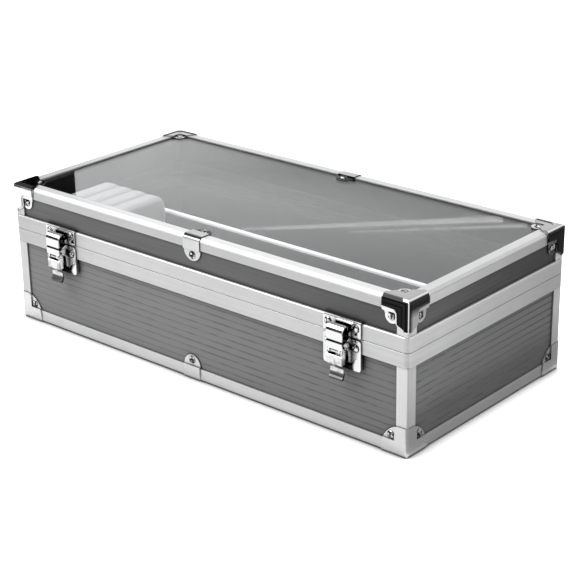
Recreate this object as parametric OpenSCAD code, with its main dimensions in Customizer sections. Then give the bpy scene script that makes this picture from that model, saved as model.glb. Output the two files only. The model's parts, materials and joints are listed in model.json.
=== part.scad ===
// Card slab storage box: a hard case with aluminium edge rails, grey panels, a clear window in the
// lid, chrome corner guards, two front draw latches and two rear hinges. Millimetres, +Z up,
// the front with its latches faces -Y. It is drawn shut, standing on its bottom corner guards.
//
// Sides are drawn once, in a side's own frame: x runs along the side, y is the depth inward from
// the outer plane of the two rims, z is up. Corner pieces are drawn by three depths from a corner.

/* [Case] */
// outer length over the rims
case_l = 350; // [300:1:480]
// outer width over the rims
case_w = 168; // [150:1:240]
// height of the closed case
case_h = 103; // [90:1:140]
// height of the lid above the seam
lid_h = 34; // [30:1:44]

/* [Panels and metalwork] */
// thickness of the side and floor panels
panel_t = 3.5; // [3:0.1:4]
// height of each rim
rim_h = 10; // [9:0.5:11]
// reach of an edge rail on each face
rail_w = 9.2; // [8.5:0.1:9.4]
// thickness of the clear window
window_t = 3; // [2:0.5:4]
// distance between the scored lines of the base panels
score_pitch = 4.7; // [4:0.1:8]

/* [Hardware] */
// distance of each latch from the nearer end of the case
latch_end = 49; // [44:1:110]
// distance of each hinge from the nearer end of the case
hinge_end = 70; // [50:1:110]
// place of the clip at the bottom of the front and the back
bottom_clip_x = -4; // [-30:1:30]

/* [Inside] */
// thickness of each foam spacer
foam_t = 14.2; // [10:0.1:20]
// space left between the left wall and the foam spacers
foam_end = 14; // [1:0.1:20]
// space left between the foam spacers and the divider's channels
foam_clear = 7.2; // [1:0.1:20]
// height of the divider board above the seam
divider_rise = 3; // [0:0.5:6]

/* [Hidden] */
$fn = 48;

far = 40;
gap = 0.3;

// depths from the rims' outer planes
rail_out = 1.0;
rail_t = 1.0;
panel_out = rail_out + rail_t;
panel_in = panel_out + panel_t;
lining_t = 1.5;
lining_in = panel_in + lining_t;
guard_t = 0.8;
guard_out = rail_out - guard_t;
ridge_h = 0.5;
ridge_out = guard_out - ridge_h;

// the planes that the base's and the lid's vertical depths are counted from
base_ref = -guard_out;
lid_ref = case_h + ridge_out;

// heights
base_h = case_h - lid_h;
seam_gap = gap / 2;
floor_top = base_ref + panel_in;
lining_top = floor_top + lining_t;
base_rim_z = base_h - rim_h;
lid_rim_top = base_h + rim_h;
web_t = 1.2;
wall_t = 2.0;
skirt_t = 1.2;
base_panel_top = base_h - 4.5;
base_web_top = base_panel_top + web_t;
lid_panel_z = base_h + 4.2;
lid_web_z = lid_panel_z - web_t;
base_skirt_z = base_h - 8.7;
base_skirt_top = base_h - 0.4;
lid_skirt_z = base_h + 0.4;
lid_skirt_top = base_h + 8;
tongue_out = 3.4;
tongue_t = 1.4;
tongue_z = base_web_top + 0.8;
window_v = panel_out;
window_z = lid_ref - window_v - window_t;
window_out = 3.0;
rim_corner = 4;
rim_edge = 0.6;
seam_edge = 0.2;

// edge shaping of rails and posts
lid_rail_edge = 1.7;
lid_rail_inside = 0.9;
base_rail_edge = 0.8;
post_edge = 0.4;

// scored lines
score_d = 0.15;
score_w = 0.7;
score_first = base_ref + rail_w + 4.5;
score_n = floor((base_rim_z - 2 - score_first) / score_pitch) + 1;

// corner guards
step_in = 9.4;
step_to = 10.0;
low_out = panel_out - guard_t;
arc_lid = 3.9;
arc_base = 2.6;
arc_post = 2.4;
guard_clear = 2.7;
guard_h = lid_ref - lid_rim_top - guard_clear;
side_rivet = [13.4, 12.9];
top_rivet = [12.8, 12.8];
base_rivet = [13.2, 12.8];

// clips
clip_w = 14.6;
clip_front_rivet = 13.7;
clip_top_rivet = 12.9;
clip_front_end = 17.7;
clip_top_end = 16.6;
bottom_clip_end = 17.5;
bottom_clip_rivet = 14.2;

// rivets
head_r = 2.7;
head_h = 0.9;
slot_w = 0.8;
slot_d = 0.55;
shank_r = 1.0;
shank_gap = 0.05;
face_shank = guard_t + 2.4;
plate_shank = 2.9;

// latches, by height above the seam and reach outward from the rims
latch_x = case_l / 2 - latch_end;
plate_t = 1.2;
plate_hw = 14.5;
base_plate_z = base_h - 21.3;
base_plate_top = base_h - 1;
catch_z = base_h + 0.5;
latch_rivet_x = 10.6;
latch_head_h = 1.1;
wrap_t = 1.0;
wrap_out = plate_t - 0.4;
wrap_corner = 0.6;
base_rivet_z = base_h - 6.3;
catch_rivet_z = base_h + 6.3;
cheek_in = 6.5;
cheek_t = 1.2;
lever_a = [6.0, base_h - 3.5];
claw_b = [7.7, base_h - 8.7];
lever_pin_r = 0.9;
claw_pin_r = 0.7;
pin_gap = 0.05;
ear_r = 1.7;
flange_in = 4.9;
flange_t = 1.0;
face_in = 8.0;
face_out = 8.8;
claw_w = 12.4;
tab_w = 10.4;
catch_ledge_out = 2.6;

// hinges, by reach outward from the rims
hinge_x = case_l / 2 - hinge_end;
hinge_out = 2.8;
hinge_r = 2.5;
hinge_pin_r = 1.25;
hinge_w = 40;
mid_w = 13.4;
leaf_t = 1.0;
leaf_clear = 2.2;
leaf_far = 9;
stop_r = 5;
stop_rest = 3.5;
hinge_rivet_x = 13;
hinge_rivet_z = 6;

// inside
divider_t = 3;
divider_out = 8.1;
channel_t = 1.0;
channel_reach = 13;
channel_hw = divider_t / 2 + gap + channel_t;
divider_top = base_h + divider_rise;
trim_h = 2;
trim_t = divider_t + 0.6;
foam_z = lining_top + gap;
foam_top = window_z - 9.7;
foam_corner = 9;
foam_out = lining_in + gap;
foam_w = case_w / 2 - foam_out - channel_hw - foam_clear;

// the drawing is moved so that its box is centred on Y = 0
body_shift_y = (face_out - hinge_out - stop_r) / 2;

// a side's own frame

module front() translate([0, -case_w / 2, 0]) children();
module back() rotate([0, 0, 180]) translate([0, -case_w / 2, 0]) children();
module left() rotate([0, 0, -90]) translate([0, -case_l / 2, 0]) children();
module right() rotate([0, 0, 90]) translate([0, -case_l / 2, 0]) children();

// a section in depth and height, run along the side
module run(w) rotate([90, 0, 90]) linear_extrude(w, center = true) children();

// a frame drawn by three depths from a corner; up is 1 where the third depth points up
module at_corner(sx, sy, ref, up)
    translate([sx * case_l / 2, sy * case_w / 2, ref])
    multmatrix([[-sx, 0, 0, 0], [0, -sy, 0, 0], [0, 0, up, 0], [0, 0, 0, 1]])
    children();

// a face of that corner: its outline's two depths, then the depth under the face
module side_x() multmatrix([[0, 0, 1, 0], [1, 0, 0, 0], [0, 1, 0, 0], [0, 0, 0, 1]]) children();
module side_y() multmatrix([[1, 0, 0, 0], [0, 0, 1, 0], [0, 1, 0, 0], [0, 0, 0, 1]]) children();

// fastenings, drawn by depth: the head is outside of depth 0

module rivet(len, h = head_h)
    rotate_extrude()
    polygon([[0, len], [shank_r, len], [shank_r, 0], [head_r, 0], [head_r, -0.25 * h],
        [0.87 * head_r, -0.6 * h], [0.6 * head_r, -0.86 * h], [0.3 * head_r, -0.97 * h], [0, -h]]);

module slotted_rivet(len)
    difference() {
        rivet(len);
        translate([-far / 2, -slot_w / 2, slot_d - head_h - far])
            cube([far, slot_w, far]);
    }

module rivet_hole(len)
    translate([0, 0, -3])
    cylinder(r = shank_r + shank_gap, h = len + 3 + shank_gap);

// where the fastenings go, as children placed at each one

module corner_side_rivets(sx, sy, ref, up, at)
    at_corner(sx, sy, ref, up) {
        side_x() translate([at[0], at[1], low_out]) children();
        side_y() translate([at[0], at[1], low_out]) children();
    }

module corner_flat_rivets(sx, sy, ref, up, at)
    at_corner(sx, sy, ref, up) translate([at[0], at[1], low_out]) children();

module all_corners_side(ref, up, at)
    for (sx = [-1, 1], sy = [-1, 1]) corner_side_rivets(sx, sy, ref, up, at) children();

module all_corners_flat(ref, up, at)
    for (sx = [-1, 1], sy = [-1, 1]) corner_flat_rivets(sx, sy, ref, up, at) children();

// a clip's frame: x along the edge, then the depth from the side, then the depth from the top or floor
module at_clip(x0, sy, ref, up)
    translate([x0, sy * case_w / 2, ref])
    multmatrix([[1, 0, 0, 0], [0, -sy, 0, 0], [0, 0, up, 0], [0, 0, 0, 1]])
    children();

module clip_rivets(x0, sy, ref, up, side_at, flat_at)
    at_clip(x0, sy, ref, up) {
        side_y() translate([0, side_at, low_out]) children();
        translate([0, flat_at, low_out]) children();
    }

module lid_clip_rivets()
    for (sy = [-1, 1])
        clip_rivets(0, sy, lid_ref, -1, clip_front_rivet, clip_top_rivet) children();

module base_clip_rivets()
    for (sy = [-1, 1])
        clip_rivets(bottom_clip_x, sy, base_ref, 1, bottom_clip_rivet, bottom_clip_rivet) children();

// plates on a rim: x along the side, y outward, fastenings by depth under the plate's face
module at_latch(x0) translate([x0, -case_w / 2, 0]) mirror([0, 1, 0]) children();
module at_hinge(x0) translate([x0, case_w / 2, 0]) children();
module into_rim() rotate([90, 0, 0]) children();

module latch_rivets(z)
    for (x0 = [-latch_x, latch_x], s = [-1, 1])
        at_latch(x0) translate([s * latch_rivet_x, plate_t, z]) into_rim() children();

module hinge_rivets(z)
    for (x0 = [-hinge_x, hinge_x], s = [-1, 1])
        at_hinge(x0) translate([s * hinge_rivet_x, leaf_t, z]) into_rim() children();

// panels

module plain_section(z0, z1) polygon([[panel_out, z0], [panel_out, z1], [panel_in, z1], [panel_in, z0]]);

module scored_section(z0, z1)
    polygon(concat(
        [[panel_in, z1], [panel_in, z0], [panel_out, z0]],
        [for (i = [0 : score_n - 1], k = [-1 : 1])
            [panel_out + (k == 0 ? score_d : 0), score_first + i * score_pitch + k * score_w / 2]],
        [[panel_out, z1]]));

// the long panels reach into the rounded corners of the rims, so their outer edges are cut back;
// the points are depths from the end and from the side
panel_corner = [for (a = [0 : 30 : 90])
    [rim_corner - (rim_corner - panel_out) * cos(a), rim_corner - (rim_corner - panel_out) * sin(a)]];

module long_panel_plan()
    polygon(concat(
        [for (c = panel_corner) [c[0] - case_l / 2, c[1]]],
        [for (i = [len(panel_corner) - 1 : -1 : 0])
            [case_l / 2 - panel_corner[i][0], panel_corner[i][1]]],
        [[case_l / 2 - panel_out, far], [panel_out - case_l / 2, far]]));

module long_panel(z0)
    intersection() {
        run(case_l) children();
        translate([0, 0, z0 - 1])
            linear_extrude(case_h)
            long_panel_plan();
    }

module base_side_holes() {
    all_corners_side(base_ref, 1, base_rivet) rivet_hole(face_shank);
    base_clip_rivets() rivet_hole(face_shank);
}

module lid_side_holes() {
    all_corners_side(lid_ref, -1, side_rivet) rivet_hole(face_shank);
    lid_clip_rivets() rivet_hole(face_shank);
}

module base_long_panel()
    long_panel(floor_top) scored_section(floor_top, base_panel_top);

module base_end_panel()
    run(case_w - 2 * panel_in) scored_section(floor_top, base_panel_top);

module lid_long_panel()
    long_panel(lid_panel_z) plain_section(lid_panel_z, window_z);

module lid_end_panel()
    run(case_w - 2 * panel_in) plain_section(lid_panel_z, window_z);

module base_front_panel() color("#7b7b7d") difference() {
    front() base_long_panel();
    base_side_holes();
}

module base_back_panel() color("#7b7b7d") difference() {
    back() base_long_panel();
    base_side_holes();
}

module base_left_panel() color("#7b7b7d") difference() {
    left() base_end_panel();
    base_side_holes();
}

module base_right_panel() color("#7b7b7d") difference() {
    right() base_end_panel();
    base_side_holes();
}

module base_floor_panel() color("#77777a") difference() {
    translate([-case_l / 2 + panel_out, -case_w / 2 + panel_out, base_ref + panel_out])
        cube([case_l - 2 * panel_out, case_w - 2 * panel_out, panel_t]);
    all_corners_flat(base_ref, 1, base_rivet) rivet_hole(face_shank);
    base_clip_rivets() rivet_hole(face_shank);
}

module lid_front_panel() color("#6e6e70") difference() {
    front() lid_long_panel();
    lid_side_holes();
}

module lid_back_panel() color("#6e6e70") difference() {
    back() lid_long_panel();
    lid_side_holes();
}

module lid_left_panel() color("#6e6e70") difference() {
    left() lid_end_panel();
    lid_side_holes();
}

module lid_right_panel() color("#6e6e70") difference() {
    right() lid_end_panel();
    lid_side_holes();
}

module lid_window() color("#cfd6da", 0.35) difference() {
    translate([-case_l / 2 + window_out, -case_w / 2 + window_out, window_z])
        cube([case_l - 2 * window_out, case_w - 2 * window_out, window_t]);
    all_corners_flat(lid_ref, -1, top_rivet) rivet_hole(face_shank);
    lid_clip_rivets() rivet_hole(face_shank);
}

// rails: an angle section with a shaped outer edge, mitred at both ends

function rail_points(edge, inside) = concat(
    [[rail_out + edge, rail_out], [rail_out, rail_out + edge], [rail_out, rail_w],
        [panel_out, rail_w]],
    inside > 0
        ? [[panel_out, panel_out + inside], [panel_out + inside, panel_out]]
        : [[panel_out, panel_out]],
    [[rail_w, panel_out], [rail_w, rail_out]]);

module mitre(len)
    translate([0, 0, -1])
    linear_extrude(case_h + 2)
    polygon([
        [-(len / 2 - rail_out), rail_out], [len / 2 - rail_out, rail_out],
        [len / 2 - rail_w, rail_w], [-(len / 2 - rail_w), rail_w]]);

module bottom_rail(len)
    intersection() {
        translate([0, 0, base_ref]) run(len) polygon(rail_points(base_rail_edge, 0));
        mitre(len);
    }

module lid_rail(len)
    intersection() {
        translate([0, 0, lid_ref])
            mirror([0, 0, 1])
            run(len)
            polygon(rail_points(lid_rail_edge, lid_rail_inside));
        mitre(len);
    }

module bottom_rail_front() color("#d5d6d8") front() bottom_rail(case_l);
module bottom_rail_back() color("#d5d6d8") back() bottom_rail(case_l);
module bottom_rail_left() color("#d5d6d8") left() bottom_rail(case_w);
module bottom_rail_right() color("#d5d6d8") right() bottom_rail(case_w);
module lid_rail_front() color("#d5d6d8") front() lid_rail(case_l);
module lid_rail_back() color("#d5d6d8") back() lid_rail(case_l);
module lid_rail_left() color("#d5d6d8") left() lid_rail(case_w);
module lid_rail_right() color("#d5d6d8") right() lid_rail(case_w);

module posts(z0, z1)
    for (sx = [-1, 1], sy = [-1, 1])
        at_corner(sx, sy, z0, 1)
        linear_extrude(z1 - z0)
        polygon([
            [rail_out + post_edge, rail_out], [rail_w, rail_out], [rail_w, panel_out],
            [panel_out, panel_out], [panel_out, rail_w], [rail_out, rail_w],
            [rail_out, rail_out + post_edge]]);

module base_corner_posts() color("#d5d6d8") posts(base_ref + rail_w, base_rim_z);
module lid_corner_posts() color("#d5d6d8") posts(lid_rim_top, lid_ref - rail_w);

// rims: one frame each, with rounded corners

// edge0 and edge1 are the bevels of its lower and its upper edge
module rim_wall(z0, z1, edge0, edge1) {
    module section()
        polygon([[edge0, z0], [0, z0 + edge0], [0, z1 - edge1], [edge1, z1],
            [wall_t, z1], [wall_t, z0]]);
    front() run(case_l - 2 * rim_corner) section();
    back() run(case_l - 2 * rim_corner) section();
    left() run(case_w - 2 * rim_corner) section();
    right() run(case_w - 2 * rim_corner) section();
    for (k = [[1, 1, 0], [-1, 1, 90], [-1, -1, 180], [1, -1, 270]])
        translate([k[0] * (case_l / 2 - rim_corner), k[1] * (case_w / 2 - rim_corner), 0])
            rotate([0, 0, k[2]])
            rotate_extrude(angle = 90)
            translate([rim_corner, 0])
            mirror([1, 0])
            section();
}

module square_ring(d0, d1, z0, z1)
    translate([0, 0, z0])
    linear_extrude(z1 - z0)
    difference() {
        square([case_l - 2 * d0, case_w - 2 * d0], center = true);
        square([case_l - 2 * d1, case_w - 2 * d1], center = true);
    }

module base_rim() color("#dcdddf") difference() {
    union() {
        rim_wall(base_rim_z, base_h - seam_gap, rim_edge, seam_edge);
        square_ring(wall_t - 0.5, panel_in + skirt_t, base_panel_top, base_web_top);
        square_ring(panel_in, panel_in + skirt_t, base_skirt_z, base_skirt_top);
    }
    latch_rivets(base_rivet_z) rivet_hole(plate_shank);
    hinge_rivets(base_h - hinge_rivet_z) rivet_hole(plate_shank);
}

module lid_rim() color("#dcdddf") difference() {
    union() {
        rim_wall(base_h + seam_gap, lid_rim_top, seam_edge, rim_edge);
        square_ring(wall_t - 0.5, panel_in + skirt_t, lid_web_z, lid_panel_z);
        square_ring(panel_in, panel_in + skirt_t, lid_skirt_z, lid_skirt_top);
        square_ring(tongue_out, tongue_out + tongue_t, tongue_z, lid_web_z);
    }
    latch_rivets(catch_rivet_z) rivet_hole(plate_shank);
    hinge_rivets(base_h + hinge_rivet_z) rivet_hole(plate_shank);
}

// corner guards

arc_n = 6;

// a quarter-round edge in two depths: outer plane, arc centre
function round_edge(out, c) = concat(
    [[far, out]],
    [for (i = [0 : arc_n])
        [c - (c - out) * sin(90 * i / arc_n), c - (c - out) * cos(90 * i / arc_n)]],
    [[out, far], [far, far]]);

module edge_block(out, c)
    intersection() {
        translate([0, 0, -5]) linear_extrude(far) polygon(round_edge(out, arc_post));
        side_x() translate([0, 0, -5]) linear_extrude(far) polygon(round_edge(out, c));
        side_y() translate([0, 0, -5]) linear_extrude(far) polygon(round_edge(out, c));
    }

// what the guard lies on: the rails with their shaped edges
module rail_block(edge)
    intersection() {
        translate([rail_out, rail_out, rail_out]) cube(far);
        side_x() translate([0, 0, -5]) linear_extrude(far) rail_corner(edge);
        side_y() translate([0, 0, -5]) linear_extrude(far) rail_corner(edge);
    }

module rail_corner(edge)
    polygon([[far, rail_out], [rail_out + edge, rail_out], [rail_out, rail_out + edge],
        [rail_out, far], [far, far]]);

module chrome_side_outline() {
    polygon([[-1, -1], [21, -1], [21, 2.2], [20, 9.4], [15.6, 15.9], [9.6, 16.6],
        [9.2, guard_h - 3.4], [2, guard_h], [-1, guard_h]]);
    translate(side_rivet) circle(4.8);
}

module chrome_top_outline() {
    polygon([[-1, -1], [20.5, -1], [20.5, 4.4], [19.6, 5.6], [14.3, 13.9], [5.6, 19.6],
        [4.4, 20.5], [-1, 20.5]]);
    translate(top_rivet) circle(4.7);
}

module top_ridge_outline()
    polygon([[-1, -1], [20, -1], [20, 4.3], [8, 4.7], [4.7, 8], [4.2, 20], [-1, 20]]);

module side_ridge_outline()
    polygon([[-1, -1], [20, -1], [20, 7.2], [10.6, 7.7], [8.8, 9.8], [8.6, guard_h - 4.2],
        [1.8, guard_h - 1], [-1, guard_h - 1]]);

module satin_outline()
    intersection() {
        translate([-1, -1]) square(21);
        translate([3, 3]) circle(17.5);
    }

// the plate over the rails, in a face's frame
module upper_plate() linear_extrude(panel_out + 1.5) difference() {
    children();
    translate([step_to, step_to]) square(far);
}

// the step down and the lobe on the panel, in a face's frame
module lower_plate() {
    translate([0, 0, guard_out]) linear_extrude(panel_out - guard_out) difference() {
        intersection() {
            children();
            translate([step_in, step_in]) square(far);
        }
        translate([step_to, step_to]) square(far);
    }
    translate([0, 0, low_out]) linear_extrude(guard_t) intersection() {
        children();
        translate([step_in, step_in]) square(far);
    }
}

module ridge_prism() translate([0, 0, -1]) linear_extrude(panel_out + 2.5) children();

module chrome_guard()
    difference() {
        union() {
            difference() {
                union() {
                    intersection() {
                        edge_block(guard_out, arc_lid);
                        union() {
                            side_x() upper_plate() chrome_side_outline();
                            side_y() upper_plate() chrome_side_outline();
                            upper_plate() chrome_top_outline();
                        }
                    }
                    intersection() {
                        edge_block(ridge_out, arc_lid);
                        union() {
                            side_x() ridge_prism() side_ridge_outline();
                            side_y() ridge_prism() side_ridge_outline();
                            ridge_prism() top_ridge_outline();
                        }
                    }
                }
                rail_block(lid_rail_edge);
            }
            side_x() lower_plate() chrome_side_outline();
            side_y() lower_plate() chrome_side_outline();
            lower_plate() chrome_top_outline();
        }
        side_x() translate([side_rivet[0], side_rivet[1], low_out]) rivet_hole(face_shank);
        side_y() translate([side_rivet[0], side_rivet[1], low_out]) rivet_hole(face_shank);
        translate([top_rivet[0], top_rivet[1], low_out]) rivet_hole(face_shank);
    }

module satin_guard()
    difference() {
        union() {
            difference() {
                intersection() {
                    edge_block(guard_out, arc_base);
                    union() {
                        side_x() upper_plate() satin_outline();
                        side_y() upper_plate() satin_outline();
                        upper_plate() satin_outline();
                    }
                }
                rail_block(base_rail_edge);
            }
            side_x() lower_plate() satin_outline();
            side_y() lower_plate() satin_outline();
            lower_plate() satin_outline();
        }
        side_x() translate([base_rivet[0], base_rivet[1], low_out]) rivet_hole(face_shank);
        side_y() translate([base_rivet[0], base_rivet[1], low_out]) rivet_hole(face_shank);
        translate([base_rivet[0], base_rivet[1], low_out]) rivet_hole(face_shank);
    }

module lid_guard_front_left() color("#e8e9eb") at_corner(-1, -1, lid_ref, -1) chrome_guard();
module lid_guard_front_right() color("#e8e9eb") at_corner(1, -1, lid_ref, -1) chrome_guard();
module lid_guard_back_left() color("#e8e9eb") at_corner(-1, 1, lid_ref, -1) chrome_guard();
module lid_guard_back_right() color("#e8e9eb") at_corner(1, 1, lid_ref, -1) chrome_guard();

module base_corner_guards() color("#c3c4c6")
    for (sx = [-1, 1], sy = [-1, 1]) at_corner(sx, sy, base_ref, 1) satin_guard();

// edge clips: over the rail, then a rounded tongue on the panel at each end

module clip_tongue(end)
    intersection() {
        union() {
            translate([-clip_w / 2, step_in]) square([clip_w, max(0.1, end - clip_w / 2 - step_in)]);
            translate([0, end - clip_w / 2]) circle(clip_w / 2);
        }
        translate([-clip_w / 2, step_in]) square([clip_w, far]);
    }

module clip_leg(end) {
    translate([0, 0, low_out]) linear_extrude(guard_t) clip_tongue(end);
    translate([0, 0, guard_out]) linear_extrude(panel_out - guard_out) intersection() {
        clip_tongue(end);
        translate([-clip_w / 2, step_in]) square([clip_w, step_to - step_in]);
    }
}

module clip(arc, edge, side_end, flat_end, side_at, flat_at)
    difference() {
        union() {
            run(clip_w) difference() {
                polygon(round_edge(guard_out, arc));
                rail_corner(edge);
                translate([step_in, -far]) square(2 * far);
                translate([-far, step_in]) square(2 * far);
            }
            side_y() clip_leg(side_end);
            clip_leg(flat_end);
        }
        side_y() translate([0, side_at, low_out]) rivet_hole(face_shank);
        translate([0, flat_at, low_out]) rivet_hole(face_shank);
    }

module lid_clip()
    clip(arc_lid, lid_rail_edge, clip_front_end, clip_top_end, clip_front_rivet, clip_top_rivet);

module bottom_clip()
    clip(arc_base, base_rail_edge, bottom_clip_end, bottom_clip_end, bottom_clip_rivet,
        bottom_clip_rivet);

module lid_edge_clip_front() color("#e8e9eb") at_clip(0, -1, lid_ref, -1) lid_clip();
module lid_edge_clip_back() color("#e8e9eb") at_clip(0, 1, lid_ref, -1) lid_clip();
module base_edge_clip_front() color("#c3c4c6") at_clip(bottom_clip_x, -1, base_ref, 1) bottom_clip();
module base_edge_clip_back() color("#c3c4c6") at_clip(bottom_clip_x, 1, base_ref, 1) bottom_clip();

// linings and the divider's channels

module floor_lining() color("#161617")
    translate([-case_l / 2 + panel_in, -case_w / 2 + panel_in, floor_top])
    cube([case_l - 2 * panel_in, case_w - 2 * panel_in, lining_t]);

module lining_section()
    polygon([[panel_in, lining_top], [panel_in, base_skirt_z], [lining_in, base_skirt_z],
        [lining_in, lining_top]]);

module wall_linings() color("#161617") {
    front() run(case_l - 2 * panel_in) lining_section();
    back() run(case_l - 2 * panel_in) lining_section();
    left() run(case_w - 2 * lining_in) lining_section();
    right() run(case_w - 2 * lining_in) lining_section();
}

module end_channel()
    translate([0, 0, lining_top])
    linear_extrude(base_skirt_z - lining_top - gap)
    difference() {
        translate([-channel_hw, lining_in]) square([2 * channel_hw, channel_reach - lining_in]);
        translate([channel_t - channel_hw, lining_in + channel_t - 0.2])
            square([2 * (channel_hw - channel_t), channel_reach]);
    }

module divider_end_channels() color("#1c1c1d") {
    left() end_channel();
    right() end_channel();
}

module divider_board() color("#2a2a2b")
    translate([-(case_l / 2 - divider_out), -divider_t / 2, lining_top + gap])
    cube([case_l - 2 * divider_out, divider_t, divider_top - trim_h - lining_top - gap]);

// the trim caps the board's top edge, clear of the rim at both ends
module divider_edge_trim() color("#f0f0ee")
    translate([0, 0, divider_top - trim_h])
    run(case_l - 2 * divider_out)
    polygon([[-trim_t / 2, 0], [-trim_t / 2, trim_h - 0.6], [-trim_t / 2 + 0.6, trim_h],
        [trim_t / 2 - 0.6, trim_h], [trim_t / 2, trim_h - 0.6], [trim_t / 2, 0]]);

// foam spacers stand across the front channel, one behind the other

module foam_spacer(i)
    translate([-case_l / 2 + foam_out + foam_end + i * (foam_t + gap), -case_w / 2 + foam_out, foam_z])
    rotate([90, 0, 90])
    linear_extrude(foam_t)
    union() {
        square([foam_w, foam_top - foam_z - foam_corner]);
        translate([foam_corner, 0]) square([foam_w - 2 * foam_corner, foam_top - foam_z]);
        for (y = [foam_corner, foam_w - foam_corner])
            translate([y, foam_top - foam_z - foam_corner]) circle(foam_corner);
    }

module foam_spacer_1() color("#f4f4f2") foam_spacer(0);
module foam_spacer_2() color("#f4f4f2") foam_spacer(1);
module foam_spacer_3() color("#f4f4f2") foam_spacer(2);
module foam_spacer_4() color("#f4f4f2") foam_spacer(3);

// latches; y is the reach outward from the rim

module rounded_plate(hw, z0, z1, r)
    translate([0, plate_t, 0])
    rotate([90, 0, 0])
    linear_extrude(plate_t)
    polygon([
        [-hw, z0 + r], [-hw + 0.3 * r, z0 + 0.3 * r], [-hw + r, z0],
        [hw - r, z0], [hw - 0.3 * r, z0 + 0.3 * r], [hw, z0 + r],
        [hw, z1 - r], [hw - 0.3 * r, z1 - 0.3 * r], [hw - r, z1],
        [-hw + r, z1], [-hw + 0.3 * r, z1 - 0.3 * r], [-hw, z1 - r]]);

// the ear that carries the lever's pin, and the thin fin beside the claw
module cheek_outline() {
    difference() {
        union() {
            polygon([[plate_t - 0.2, base_h - 17], [3.7, base_h - 15.2], [3.7, base_h - 8],
                [7.0, base_h - 5.8], [7.0, base_h - 1.4], [3.9, base_h + 0.2],
                [3.9, base_h + 3.6], [3.2, base_h + 4.3], [plate_t + 0.5, base_h + 4.3],
                [plate_t + 0.5, base_plate_top - 0.4], [plate_t - 0.2, base_plate_top - 0.4]]);
            translate(lever_a) circle(ear_r);
        }
        translate(lever_a) circle(lever_pin_r + pin_gap);
    }
}

module latch_base_plate()
    difference() {
        union() {
            rounded_plate(plate_hw, base_plate_z, base_plate_top, 1.6);
            for (s = [-1, 1]) {
                translate([s * (cheek_in + cheek_t / 2), 0, 0]) run(cheek_t) cheek_outline();
                translate([s * (plate_hw - 0.6) - 0.6, -panel_out, base_plate_z + 1.6])
                    cube([1.2, panel_out + 0.5, base_rim_z - base_plate_z - 1.8]);
            }
        }
        for (s = [-1, 1])
            translate([s * latch_rivet_x, plate_t, base_rivet_z]) into_rim() rivet_hole(plate_shank);
    }

// the catch plate wraps over the rim's top edge and has a ledge for the claw
module catch_plate()
    difference() {
        union() {
            rounded_plate(plate_hw, catch_z, lid_rim_top, wrap_corner);
            translate([-plate_hw, -wall_t, lid_rim_top])
                cube([2 * plate_hw, wall_t + wrap_out, wrap_t]);
            translate([wrap_corner - plate_hw, 0, lid_rim_top - wrap_t])
                cube([2 * (plate_hw - wrap_corner), wrap_out, 2 * wrap_t]);
            run(11) polygon([[plate_t - 0.2, base_h + 1.6], [catch_ledge_out, base_h + 2.4],
                [catch_ledge_out, base_h + 5.2], [plate_t - 0.2, base_h + 5.6]]);
        }
        for (s = [-1, 1])
            translate([s * latch_rivet_x, plate_t, catch_rivet_z]) into_rim()
                rivet_hole(plate_shank);
    }

module lever_flange()
    difference() {
        union() {
            translate(lever_a) circle(ear_r);
            translate(claw_b) circle(face_out - claw_b[0]);
            polygon([lever_a, [4.4, base_h - 4.1], [4.9, base_h - 10], [5.6, base_h - 16.8],
                [face_out - 0.4, base_h - 16.8], [face_out - 0.4, base_h - 10],
                claw_b, [7.6, base_h - 4.2]]);
        }
        translate(lever_a) circle(lever_pin_r + pin_gap);
        translate(claw_b) circle(claw_pin_r + pin_gap);
    }

module lever() {
    for (s = [-1, 1])
        translate([s * (flange_in + flange_t / 2), 0, 0]) run(flange_t) lever_flange();
    run(2 * (flange_in + flange_t))
        polygon([[face_in, base_h - 11], [face_out - 0.2, base_h - 11], [face_out, base_h - 11.2],
            [face_out, base_h - 16.9], [face_out - 0.5, base_h - 17.6],
            [face_in - 0.5, base_h - 17.2], [face_in, base_h - 16.6]]);
    run(tab_w)
        polygon([[face_out, base_h - 16.6], [face_out - 0.4, base_h - 17.5],
            [6.2, base_h - 20.3], [6.0, base_h - 21.2], [6.1, base_h - 24.5],
            [6.6, base_h - 25.4], [7.6, base_h - 26.2], [7.4, base_h - 27.6],
            [6.0, base_h - 27.2], [5.2, base_h - 25.8], [4.9, base_h - 24.2],
            [4.9, base_h - 20.6], [5.4, base_h - 19.4], [face_in - 0.6, base_h - 16.8]]);
}

module claw() difference() {
    union() {
        run(claw_w)
            polygon([[face_in, base_h - 7], [face_out, base_h - 7], [face_out, base_h - 2.4],
                [face_out - 0.5, base_h - 2.3], [face_out - 0.5, base_h - 1.4],
                [face_out, base_h - 1.3], [face_out, base_h + 4.6], [8.3, base_h + 6.3],
                [6.8, base_h + 7.6], [4.6, base_h + 8.2], [2.9, base_h + 7.5],
                [2.9, base_h + 5.0], [3.6, base_h + 4.8], [3.8, base_h + 6.6],
                [4.8, base_h + 7.2], [6.4, base_h + 6.7], [7.6, base_h + 5.6],
                [face_in, base_h + 4.4]]);
        for (s = [-1, 1])
            translate([s * 4.0, 0, 0]) run(1.2) {
                translate(claw_b) circle(face_out - claw_b[0]);
                translate([claw_b[0] - 0.6, claw_b[1]]) square([1.7, 2.4]);
            }
    }
    translate([0, claw_b[0], claw_b[1]]) rotate([0, 90, 0])
        cylinder(r = claw_pin_r + pin_gap, h = far, center = true);
}

module claw_pin()
    translate([0, claw_b[0], claw_b[1]]) rotate([0, 90, 0])
    cylinder(r = claw_pin_r, h = 2 * (flange_in + flange_t), center = true);

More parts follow.
